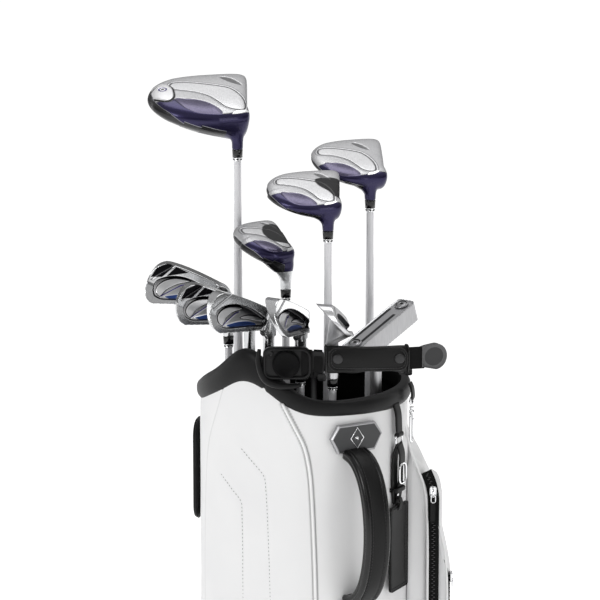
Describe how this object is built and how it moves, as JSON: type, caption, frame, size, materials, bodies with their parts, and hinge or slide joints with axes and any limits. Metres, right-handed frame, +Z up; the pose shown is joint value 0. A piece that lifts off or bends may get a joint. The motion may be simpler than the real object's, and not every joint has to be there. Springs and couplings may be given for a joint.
{
  "type": "golf club set in cart bag",
  "caption": "Golf club set standing heads-up in an oval cart bag: woods, hybrid, cavity-back irons, wedge and blade putter, with mouth strap, grab handle, pockets and luggage tag.",
  "frame": {"origin": "centre of the bag base's underside, where the bag stands on the floor", "axes": "+Z up along the shafts, -Y out of the bag's handle side, +X towards the pocket side"},
  "size_m": [0.3479, 0.3394, 1.1973],
  "materials": {
    "black_leather": "black smooth leather",
    "black_plastic": "satin black moulding",
    "black_soft": "black padded soft-touch leather",
    "chrome": "polished",
    "grey_plastic": "matte grey moulding",
    "grip_rubber": "moulded grip rubber",
    "plate_grey": "dark grey enamel with bright rim",
    "purple_silver": "indigo pearl crown and satin silver sole",
    "satin_steel": "satin",
    "shaft_silver": "pearl silver lacquer",
    "webbing": "woven nylon webbing",
    "white_leather": "white grained synthetic leather"
  },
  "bodies": {
    "bag": {"bag_body": "white_leather", "bag_base": "black_plastic", "bag_cuff": "black_soft", "club_divider": "black_soft", "handle_plate": "plate_grey", "grab_handle": "black_leather", "strap_anchor": "black_plastic", "strap_magnet_left": "black_plastic", "tag_hanger": "black_leather", "side_pocket": "white_leather", "outer_pocket": "white_leather", "shoulder_pad": "black_soft"},
    "mouth_strap": {"strap_sleeve": "black_leather", "strap_webbing_right": "webbing", "strap_tab_right": "grey_plastic"},
    "strap_cover": {"strap_flap": "black_leather"},
    "tag_loop": {"tag_ring": "chrome", "tag_strap": "black_leather"},
    "tag": {"luggage_tag": "black_leather"},
    "hook": {"snap_hook": "chrome"},
    "zip": {"zip_slider": "chrome"},
    "driver": {"driver_head": "purple_silver", "driver_shaft": "shaft_silver", "driver_grip": "grip_rubber", "driver_ferrule": "black_plastic"},
    "five_wood": {"five_wood_head": "purple_silver", "five_wood_shaft": "shaft_silver", "five_wood_grip": "grip_rubber", "five_wood_ferrule": "black_plastic"},
    "seven_wood": {"seven_wood_head": "purple_silver", "seven_wood_shaft": "shaft_silver", "seven_wood_grip": "grip_rubber", "seven_wood_ferrule": "black_plastic"},
    "hybrid": {"hybrid_head": "purple_silver", "hybrid_shaft": "shaft_silver", "hybrid_grip": "grip_rubber", "hybrid_ferrule": "black_plastic"},
    "iron_six": {"iron_six_head": "chrome", "iron_six_shaft": "shaft_silver", "iron_six_grip": "grip_rubber", "iron_six_ferrule": "black_plastic"},
    "iron_seven": {"iron_seven_head": "chrome", "iron_seven_shaft": "shaft_silver", "iron_seven_grip": "grip_rubber", "iron_seven_ferrule": "black_plastic"},
    "iron_eight": {"iron_eight_head": "chrome", "iron_eight_shaft": "shaft_silver", "iron_eight_grip": "grip_rubber", "iron_eight_ferrule": "black_plastic"},
    "iron_nine": {"iron_nine_head": "chrome", "iron_nine_shaft": "shaft_silver", "iron_nine_grip": "grip_rubber", "iron_nine_ferrule": "black_plastic"},
    "wedge": {"wedge_head": "chrome", "wedge_shaft": "shaft_silver", "wedge_grip": "grip_rubber", "wedge_ferrule": "black_plastic"},
    "putter": {"putter_head": "satin_steel", "putter_shaft": "chrome", "putter_grip": "grip_rubber"}
  },
  "joints": [
    {"name": "driver_lift", "type": "slide", "parent": "bag", "child": "driver", "axis": [0, 0, 1], "range_m": [0, 0.9]},
    {"name": "five_wood_lift", "type": "slide", "parent": "bag", "child": "five_wood", "axis": [0, 0, 1], "range_m": [0, 0.9]},
    {"name": "seven_wood_lift", "type": "slide", "parent": "bag", "child": "seven_wood", "axis": [0, 0, 1], "range_m": [0, 0.9]},
    {"name": "hybrid_lift", "type": "slide", "parent": "bag", "child": "hybrid", "axis": [0, 0, 1], "range_m": [0, 0.9]},
    {"name": "iron_six_lift", "type": "slide", "parent": "bag", "child": "iron_six", "axis": [0, 0, 1], "range_m": [0, 0.9]},
    {"name": "iron_seven_lift", "type": "slide", "parent": "bag", "child": "iron_seven", "axis": [0, 0, 1], "range_m": [0, 0.9]},
    {"name": "iron_eight_lift", "type": "slide", "parent": "bag", "child": "iron_eight", "axis": [0, 0, 1], "range_m": [0, 0.9]},
    {"name": "iron_nine_lift", "type": "slide", "parent": "bag", "child": "iron_nine", "axis": [0, 0, 1], "range_m": [0, 0.9]},
    {"name": "wedge_lift", "type": "slide", "parent": "bag", "child": "wedge", "axis": [0, 0, 1], "range_m": [0, 0.9]},
    {"name": "putter_lift", "type": "slide", "parent": "bag", "child": "putter", "axis": [0, 0, 1], "range_m": [0, 0.9]},
    {"name": "tag_loop_swing", "type": "hinge", "parent": "bag", "child": "tag_loop", "pos_m": [0.10785, -0.07341, 0.815], "axis": [-0.4939, -0.8695, 0], "range_deg": [0, 50]},
    {"name": "tag_swing", "type": "hinge", "parent": "tag_loop", "child": "tag", "pos_m": [0.10785, -0.07341, 0.733], "axis": [-0.4939, -0.8695, 0], "range_deg": [0, 50]},
    {"name": "hook_swing", "type": "hinge", "parent": "bag", "child": "hook", "pos_m": [0.12273, -0.04845, 0.865], "axis": [-0.3141, -0.9494, 0], "range_deg": [0, 50]},
    {"name": "zip_slide", "type": "slide", "parent": "bag", "child": "zip", "axis": [0, 0, -1], "range_m": [0, 0.55]},
    {"name": "strap_swing", "type": "hinge", "parent": "bag", "child": "mouth_strap", "pos_m": [0.0222, -0.1386, 0.915], "axis": [0, 0, -1], "range_deg": [0, 70]},
    {"name": "strap_cover_open", "type": "hinge", "parent": "mouth_strap", "child": "strap_cover", "pos_m": [0.026, -0.14065, 0.929], "axis": [-0.963, -0.2696, 0], "range_deg": [0, 60]}
  ]
}
